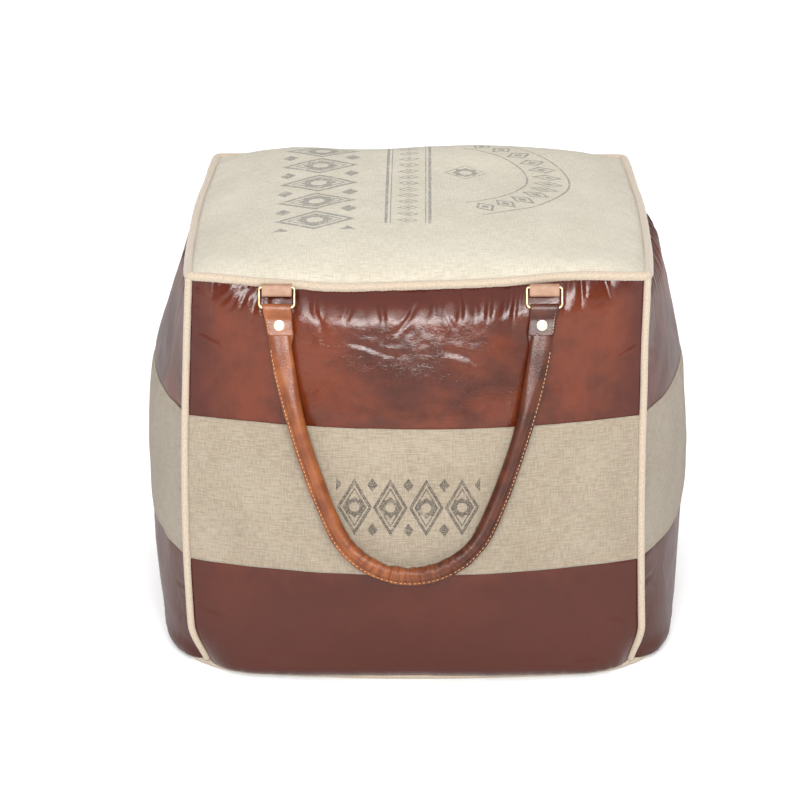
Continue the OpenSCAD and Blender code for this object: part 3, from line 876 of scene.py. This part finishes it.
def strap_end(side_name, quarters, end, materials):
    """The end of the handle folded round the ring's lower bar, with its flap in front."""
    node = f"{side_name}_handle"
    path = curve_through(STRAP_LOOP, 0.7)
    down = -path[:, 2]
    flap = np.arange(len(path)) < np.argmax(path[:, 2])
    half = np.where(flap, 12.1 + 0.95 * smooth(-down, -20, 0), 12.0)
    half = half - 2.6 * smooth(down, 24, 34) * ~flap
    half = half - 0.8 * smooth(down, 24.3, 25.3) * flap
    shift = -end * STRAP_SHIFT * down / STRAP_DROP
    middle = strap_origin() + np.array([end * RING_X, 0, 0])

    def place(points):
        return turn(lean_back(points, STRAP_LEAN) + middle, quarters)

    tone = 0.08 if end < 0 else 0.8
    name = f"{node}_{hand(end)}_strap"
    strip(name, path, half, 2.0, materials["handle"], node, node, tone,
          260 + end + quarters, place, shift)
    z = np.arange(-5.5, -23.5, -2.7)
    # The flap's face curves back as it nears the bar.
    front = -1.05 - 0.378 * np.clip(z + 9, 0, None)
    centres = place(xyz(end * 10.4 + end * STRAP_SHIFT * z / STRAP_DROP, front, z))
    along, up = turn(lean_back([(0, 0, -1), (0, -1, 0)], STRAP_LEAN), quarters)
    count = len(z)
    stitches(f"{name}_stitches", centres, [along] * count, [up] * count, 0.85, 0.33,
             materials["thread"], node)


# ---- Zip ----

def zip_coil(name, sign, material):
    """A coil of round wire along one side of the zip."""
    turns = 170
    t = np.linspace(0, 1, turns * 10)
    angle = t * turns * 2 * math.pi
    path = xyz(-149.5 + 299 * t, sign * (1.85 - 0.85 * np.cos(angle)), 5.75 + 0.75 * np.sin(angle))
    tube(f"{name}_wire", path, 0.34, 6, material, False, (1, 0, 0.01), name)


# ---- Materials ----

class Field:
    """A number that varies over a surface, made of Math nodes."""

    def __init__(self, tree, socket):
        self.tree = tree
        self.socket = socket

    def math(self, operation, *others):
        node = self.tree.nodes.new("ShaderNodeMath")
        node.operation = operation
        self.tree.links.new(self.socket, node.inputs[0])
        for k, other in enumerate(others, 1):
            if isinstance(other, Field):
                self.tree.links.new(other.socket, node.inputs[k])
            else:
                node.inputs[k].default_value = other
        return Field(self.tree, node.outputs[0])

    __add__ = partialmethod(math, "ADD")
    __sub__ = partialmethod(math, "SUBTRACT")
    __mul__ = partialmethod(math, "MULTIPLY")
    __truediv__ = partialmethod(math, "DIVIDE")
    size = partialmethod(math, "ABSOLUTE")
    most = partialmethod(math, "MAXIMUM")
    least = partialmethod(math, "MINIMUM")
    under = partialmethod(math, "LESS_THAN")
    over = partialmethod(math, "GREATER_THAN")

    def between(self, low, high):
        return self.over(low) * self.under(high)

    def wrapped(self, width):
        """The place inside a repeating cell, measured from the cell's middle."""
        return self.math("FLOORED_MODULO", width) - width / 2


class Look:
    """A material under construction."""

    def __init__(self, name):
        self.material = bpy.data.materials.new(name)
        self.material.use_nodes = True
        self.tree = self.material.node_tree
        self.shader = self.tree.nodes["Principled BSDF"]
        self.place = self.tree.nodes.new("ShaderNodeAttribute")
        self.place.attribute_name = "st"
        self.coordinates = self.place.outputs["Vector"]

    def use_object_places(self):
        node = self.tree.nodes.new("ShaderNodeTexCoord")
        self.coordinates = node.outputs["Object"]

    def set(self, **values):
        for key, value in values.items():
            self.shader.inputs[key.replace("_", " ").title().replace("Ior", "IOR")].default_value = value

    def node(self, kind, inlet, socket, **values):
        """A new node with a socket linked to its inlet and its other inputs set."""
        node = self.tree.nodes.new(kind)
        self.tree.links.new(socket, node.inputs[inlet])
        for key, value in values.items():
            node.inputs[key.replace("_", " ").title()].default_value = value
        return node

    def axis(self, k):
        node = self.node("ShaderNodeSeparateXYZ", 0, self.coordinates)
        return Field(self.tree, node.outputs[k])

    def noise(self, scale, detail, stretch=(1, 1, 1)):
        move = self.node("ShaderNodeMapping", "Vector", self.coordinates, scale=stretch)
        node = self.node("ShaderNodeTexNoise", "Vector", move.outputs[0], scale=scale, detail=detail)
        return Field(self.tree, node.outputs["Fac"])

    def cells(self, scale):
        node = self.node("ShaderNodeTexVoronoi", "Vector", self.coordinates, scale=scale)
        return Field(self.tree, node.outputs["Distance"])

    def ramp(self, field, low, high):
        """0 where the field is under low and 1 where it is over high."""
        node = self.node("ShaderNodeMapRange", "Value", field.socket, from_min=low, from_max=high)
        node.interpolation_type = "SMOOTHSTEP"
        return Field(self.tree, node.outputs["Result"])

    def mix(self, field, first, second):
        """The first colour where the field is 0 and the second where it is 1."""
        node = self.node("ShaderNodeMix", "Factor", field.socket)
        node.data_type = "RGBA"
        for value, socket in ((first, node.inputs[6]), (second, node.inputs[7])):
            if isinstance(value, tuple):
                socket.default_value = (*value, 1)
            else:
                self.tree.links.new(value, socket)
        return node.outputs[2]

    def color(self, socket):
        self.tree.links.new(socket, self.shader.inputs["Base Color"])

    def two_tone(self, field, low, high, first, second):
        self.color(self.mix(self.ramp(field, low, high), first, second))

    def roughness(self, field):
        self.tree.links.new(field.socket, self.shader.inputs["Roughness"])

    def bump(self, field, distance, strength):
        node = self.node("ShaderNodeBump", "Height", field.socket, strength=strength, distance=distance)
        self.tree.links.new(node.outputs[0], self.shader.inputs["Normal"])


def cover_leather(name, smoothest, ior):
    """Waxed leather; smoothest is its lowest roughness."""
    look = Look(name)
    look.set(specular_ior_level=0.34, ior=ior)
    clouds = look.noise(9, 3)
    fine = look.noise(60, 4)
    tone = look.ramp(clouds * 0.7 + fine * 0.3, 0.35, 0.66)
    base = look.mix(tone, (0.042, 0.0072, 0.002), (0.108, 0.0195, 0.005))
    burnish = look.ramp(look.axis(2) + clouds * 0.03, 0.012, 0.055)
    base = look.mix(burnish, (0.05, 0.007, 0.003), base)
    # Painted shade: the base colour is darker towards the bottom of each side, below about 0.3 m.
    painted_low_shade = look.ramp(look.axis(1), -0.02, 0.3)
    base = look.mix(painted_low_shade, (0.05, 0.009, 0.004), base)
    specks = look.ramp(look.noise(420, 2), 0.62, 0.72)
    base = look.mix(specks * 0.35, base, (0.06, 0.012, 0.006))
    look.color(base)
    look.roughness(look.noise(35, 4) * 0.12 + smoothest)
    grain = look.cells(900) * 0.5 + look.noise(380, 3) * 0.9 + look.noise(110, 3) * 0.8
    look.bump(grain, 0.0003, 0.5)
    return look.material


def handle_leather():
    """Leather that goes from a warm tan at the handle's left to dark brown at its right."""
    look = Look("handle_leather")
    look.set(specular_ior_level=0.33)
    clouds = look.noise(40, 3)
    tone = look.ramp(clouds, 0.35, 0.65)
    warm = look.mix(tone, (0.125, 0.03, 0.008), (0.21, 0.062, 0.018))
    deep = look.mix(tone, (0.036, 0.007, 0.0025), (0.07, 0.0155, 0.005))
    look.two_tone(look.axis(2), 0.15, 0.85, warm, deep)
    look.roughness(look.noise(90, 3) * 0.2 + 0.2)
    look.bump(look.noise(500, 3) + look.cells(1100) * 0.4, 0.0004, 0.5)
    return look.material


def tab_leather():
    look = Look("tab_leather")
    look.set(roughness=0.6)
    look.two_tone(look.noise(120, 4), 0.3, 0.7, (0.235, 0.125, 0.075), (0.31, 0.18, 0.115))
    look.bump(look.noise(600, 3), 0.0003, 0.4)
    return look.material


def woven(look):
    """Bump for a plain weave with thick and thin threads, which it returns."""
    threads = 2 * math.pi / 0.0011
    weave = (look.axis(0) * threads).math("SINE") * (look.axis(1) * threads).math("SINE") * 0.35
    slubs = look.noise(1, 3, (90, 900, 1)) + look.noise(1, 3, (900, 110, 1)) * 0.8
    look.bump(weave + slubs * 1.6, 0.0005, 0.7)
    return slubs


def distressed(look, mask):
    """Worn ink: the mask broken up by specks and thin patches."""
    specks = look.ramp(look.noise(1000, 2), 0.40, 0.54)
    wear = look.ramp(look.noise(120, 3), 0.30, 0.46)
    return mask * (specks * 0.75 + 0.25) * (wear * 0.6 + 0.4)


def star(x, y, radius):
    """An eight-pointed star: a square and the same square turned, with an open middle."""
    square = x.size().most(y.size())
    diamond = (x.size() + y.size()) * 0.7071
    shape = square.least(diamond)
    return (shape.under(radius * 0.7) - square.most(diamond).under(radius * 0.42)).most(0.0)


def lozenge(x, y, half_x, half_y):
    """1 on the edge of a lozenge, less inside it and more outside."""
    return x.size() / half_x + y.size() / half_y


def band_print(look):
    """A row of lozenges with stars in them, in the middle of the band."""
    x = look.axis(0) + 0.0072
    y = look.axis(1) - 0.1765
    cell = (x + 1.04).wrapped(0.0325)
    shape = lozenge(cell, y, 0.0158, 0.0275)
    lines = shape.between(0.8, 1.0).most(shape.between(0.6, 0.69))
    gaps = lozenge((x + 1.04 + 0.01625).wrapped(0.0325), y.size() - 0.0215, 0.0048, 0.0065).under(1.0)
    mask = lines.most(star(cell, y, 0.0105)).most(gaps)
    return mask * x.size().under(0.0652) * y.size().under(0.03)


def top_print(look):
    """A column of stars, two rules with small lozenges between them, a rosette and an arc of lozenges."""
    x = look.axis(0)
    y = look.axis(1)
    column = x + 0.0975
    row = (y + 0.123).wrapped(0.0606)
    shape = lozenge(column, row, 0.038, 0.0285)
    block = shape.between(0.82, 1.0).most(shape.between(0.6, 0.7)).most(star(column, row, 0.018))
    side_rows = lozenge(column.size() - 0.031, (y + 0.123 + 0.0303).wrapped(0.0606), 0.008, 0.010).under(1.0)
    block = block.most(side_rows) * y.between(-0.123, 0.18)
    rules = (x + 0.031).size().under(0.0014).most((x - 0.010).size().under(0.0014))
    thin = (x + 0.027).size().under(0.0005).most((x - 0.006).size().under(0.0005))
    small = lozenge(x + 0.0105, (y + 0.105).wrapped(0.0197), 0.0105, 0.0075)
    middle = rules.most(thin).most(small.between(0.72, 1.0)).most(small.under(0.35)) * y.between(-0.105, 0.19)
    rosette_x = x - 0.045
    rosette_y = y - 0.06
    frame_lines = lozenge(rosette_x, rosette_y, 0.021, 0.021).between(0.92, 1.0)
    rosette = star(rosette_x, rosette_y, 0.014).most(frame_lines)
    across = x - 0.010
    up = y - 0.045
    far = (across * across + up * up).math("SQRT")
    angle = up.math("ARCTAN2", across)
    beads = lozenge((angle + 3.2).wrapped(0.2), far - 0.115, 0.085, 0.0155)
    lines = far.between(0.0935, 0.0955).most(far.between(0.1345, 0.1365))
    arc = beads.between(0.7, 1.0).most(beads.under(0.4)).most(lines)
    arc = arc * across.over(0.0) * angle.size().under(1.2)
    return block.most(middle).most(rosette).most(arc)


def canvas(name, light, dark, mask_maker=None, ink=None, cover=1.0):
    """Canvas, with the mask printed on it in a colour of ink that covers it more or less."""
    look = Look(name)
    look.set(roughness=0.9, specular_ior_level=0.25, sheen_weight=0.15, sheen_roughness=0.5)
    tone = look.ramp(woven(look) * 0.45 + look.noise(14, 3) * 0.2, 0.38, 0.62)
    base = look.mix(tone, dark, light)
    nips = look.ramp(look.noise(1, 2, (260, 900, 1)), 0.72, 0.78)
    base = look.mix(nips * 0.25, base, (0.4, 0.31, 0.2))
    if mask_maker:
        base = look.mix(distressed(look, mask_maker(look)) * cover, base, ink)
    look.color(base)
    return look.material


def piping_canvas():
    look = Look("piping_canvas")
    look.set(roughness=0.92, specular_ior_level=0.2, sheen_weight=0.3, sheen_roughness=0.5)
    threads = look.noise(1, 3, (500, 900, 1))
    look.two_tone(threads, 0.3, 0.7, (0.32, 0.255, 0.19), (0.42, 0.35, 0.27))
    look.bump(threads, 0.0005, 0.7)
    return look.material


def soft_stuff(name, light, dark, scale):
    look = Look(name)
    look.use_object_places()
    look.set(roughness=0.95, specular_ior_level=0.15)
    fibres = look.noise(scale, 4)
    look.two_tone(fibres, 0.3, 0.7, dark, light)
    look.bump(fibres, 0.001, 0.6)
    return look.material


def brass(name, light, dark, rough):
    look = Look(name)
    look.use_object_places()
    look.set(metallic=1.0)
    look.two_tone(look.noise(260, 4), 0.35, 0.7, light, dark)
    look.roughness(look.noise(500, 3) * 0.2 + rough)
    look.bump(look.noise(900, 3), 0.0001, 0.3)
    return look.material


def thread(name, light, dark):
    look = Look(name)
    look.use_object_places()
    look.set(roughness=0.75)
    look.two_tone(look.noise(900, 2), 0.3, 0.7, dark, light)
    return look.material


def make_materials():
    band_tones = (0.30, 0.254, 0.192), (0.217, 0.175, 0.125)
    top_tones = (0.51, 0.468, 0.385), (0.40, 0.36, 0.28)
    return {
        "leather": cover_leather("cover_leather", 0.1, 1.5),
        "side_leather": cover_leather("side_leather", 0.36, 1.36),
        "handle": handle_leather(),
        "tab": tab_leather(),
        "band": canvas("band_canvas", *band_tones),
        "front_band": canvas("front_band_canvas", *band_tones, band_print, (0.045, 0.038, 0.034), 0.95),
        "top": canvas("top_canvas", *top_tones, top_print, (0.11, 0.11, 0.1), 0.9),
        "base": canvas("base_canvas", (0.52, 0.44, 0.32), (0.44, 0.36, 0.25)),
        "piping": piping_canvas(),
        "liner": soft_stuff("liner_cloth", (0.8, 0.78, 0.72), (0.7, 0.67, 0.6), 300),
        "filling": soft_stuff("filling", (0.85, 0.84, 0.8), (0.62, 0.6, 0.56), 120),
        "cord": soft_stuff("cord", (0.82, 0.79, 0.7), (0.66, 0.62, 0.52), 400),
        "brass": brass("antique_brass", (0.70, 0.56, 0.33), (0.42, 0.30, 0.15), 0.28),
        "pale_brass": brass("pale_brass", (0.86, 0.76, 0.55), (0.72, 0.60, 0.40), 0.30),
        "zip_metal": brass("zip_metal", (0.6, 0.45, 0.25), (0.45, 0.32, 0.17), 0.32),
        "zip_tape": soft_stuff("zip_tape", (0.45, 0.37, 0.26), (0.36, 0.29, 0.2), 700),
        "zip_coil": soft_stuff("zip_coil", (0.42, 0.34, 0.23), (0.36, 0.28, 0.19), 500),
        "thread": thread("handle_thread", (0.6, 0.36, 0.17), (0.42, 0.22, 0.09)),
        "band_thread": thread("band_thread", (0.36, 0.25, 0.16), (0.25, 0.16, 0.1)),
    }


def dress_frame(materials):
    """Materials for the frame's own pieces that stay as they are."""
    looks = {"ring": "brass", "handle_rivets": "pale_brass", "zip_tape": "zip_tape", "zip_stops": "zip_metal",
             "zip_slider": "zip_metal", "zip_pull": "zip_metal"}
    for name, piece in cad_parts.items():
        for ending, key in looks.items():
            if name.endswith(ending) or name.startswith(ending):
                piece.data.materials.clear()
                piece.data.materials.append(materials[key])


# ---- Studio ----

def look_at(thing, target):
    thing.rotation_mode = "QUATERNION"
    thing.rotation_quaternion = (Vector(target) - Vector(thing.location)).to_track_quat("-Z", "Y")


def light(name, kind, place, target, energy, width, height=0):
    """An area light of a width and height, or a sun whose width is an angle."""
    data = bpy.data.lights.new(name, kind)
    data.energy = energy
    if kind == "AREA":
        data.shape = "RECTANGLE"
        data.size = width
        data.size_y = height
    else:
        data.angle = width
    lamp = bpy.data.objects.new(name, data)
    bpy.context.scene.collection.objects.link(lamp)
    lamp.location = place
    look_at(lamp, target)


def studio():
    scene = bpy.context.scene
    scene.view_settings.view_transform = "Standard"
    world = bpy.data.worlds.new("studio")
    world.use_nodes = True
    background = world.node_tree.nodes["Background"].inputs
    background["Color"].default_value = (1, 1, 1, 1)
    background["Strength"].default_value = 0.42
    scene.world = world
    light("overhead", "SUN", (0, 0, 4), (0, 0.15, 0), 2.0, math.radians(115))
    light("front_softbox", "AREA", (0, -5.4, 2.2), (0, 0, 0.33), 300, 3.3, 1.2)
    light("high_softbox", "AREA", (0, -5.1, 3.4), (0, 0, 0.35), 150, 3.4, 2.8)
    bpy.ops.mesh.primitive_plane_add(size=80, location=(0, 0, -0.0004))
    floor = bpy.context.object
    floor.name = "floor"
    look = Look("floor")
    look.use_object_places()
    look.set(roughness=0.8, specular_ior_level=0.1, emission_color=(1, 1, 1, 1), emission_strength=0.08)
    look.color(look.mix(look.noise(2, 2), (0.93, 0.93, 0.93), (0.94, 0.94, 0.94)))
    floor.data.materials.append(look.material)


def camera():
    data = bpy.data.cameras.new("camera")
    data.lens = 218
    data.shift_x = -0.0243
    data.shift_y = 0.0081
    data.clip_start = 0.1
    data.clip_end = 200
    eye = bpy.data.objects.new("camera", data)
    bpy.context.scene.collection.objects.link(eye)
    eye.location = (0, -4.432, 1.641)
    look_at(eye, (0, 0, 0.19))
    bpy.context.scene.camera = eye


# ---- The whole pouf ----

def build():
    materials = make_materials()
    for side in range(4):
        leather = materials["side_leather" if side % 2 else "leather"]
        leather_panel(side, "upper_leather", BAND_HIGH - 4, TOP_Z - 1.6, leather)
        canvas_band(side, materials["front_band" if side == 0 else "band"])
        leather_panel(side, "lower_leather", 4.6, BAND_LOW + 4, leather)
        band_stitches(side, materials["band_thread"])
    top_panel(materials["top"])
    bottom_panel(0, materials["base"])
    bottom_panel(1, materials["base"])
    seam_piping(materials)
    corner_piping(materials)
    stuffing(materials)
    for side_name, quarters in (("front", 0), ("rear", 2)):
        handle_grip(side_name, quarters, materials)
        for end in (-1, 1):
            tab(side_name, quarters, end, materials["tab"])
            strap_end(side_name, quarters, end, materials)
    zip_coil("zip_coil_front", -1, materials["zip_coil"])
    zip_coil("zip_coil_rear", 1, materials["zip_coil"])
    dress_frame(materials)


build()
studio()
camera()
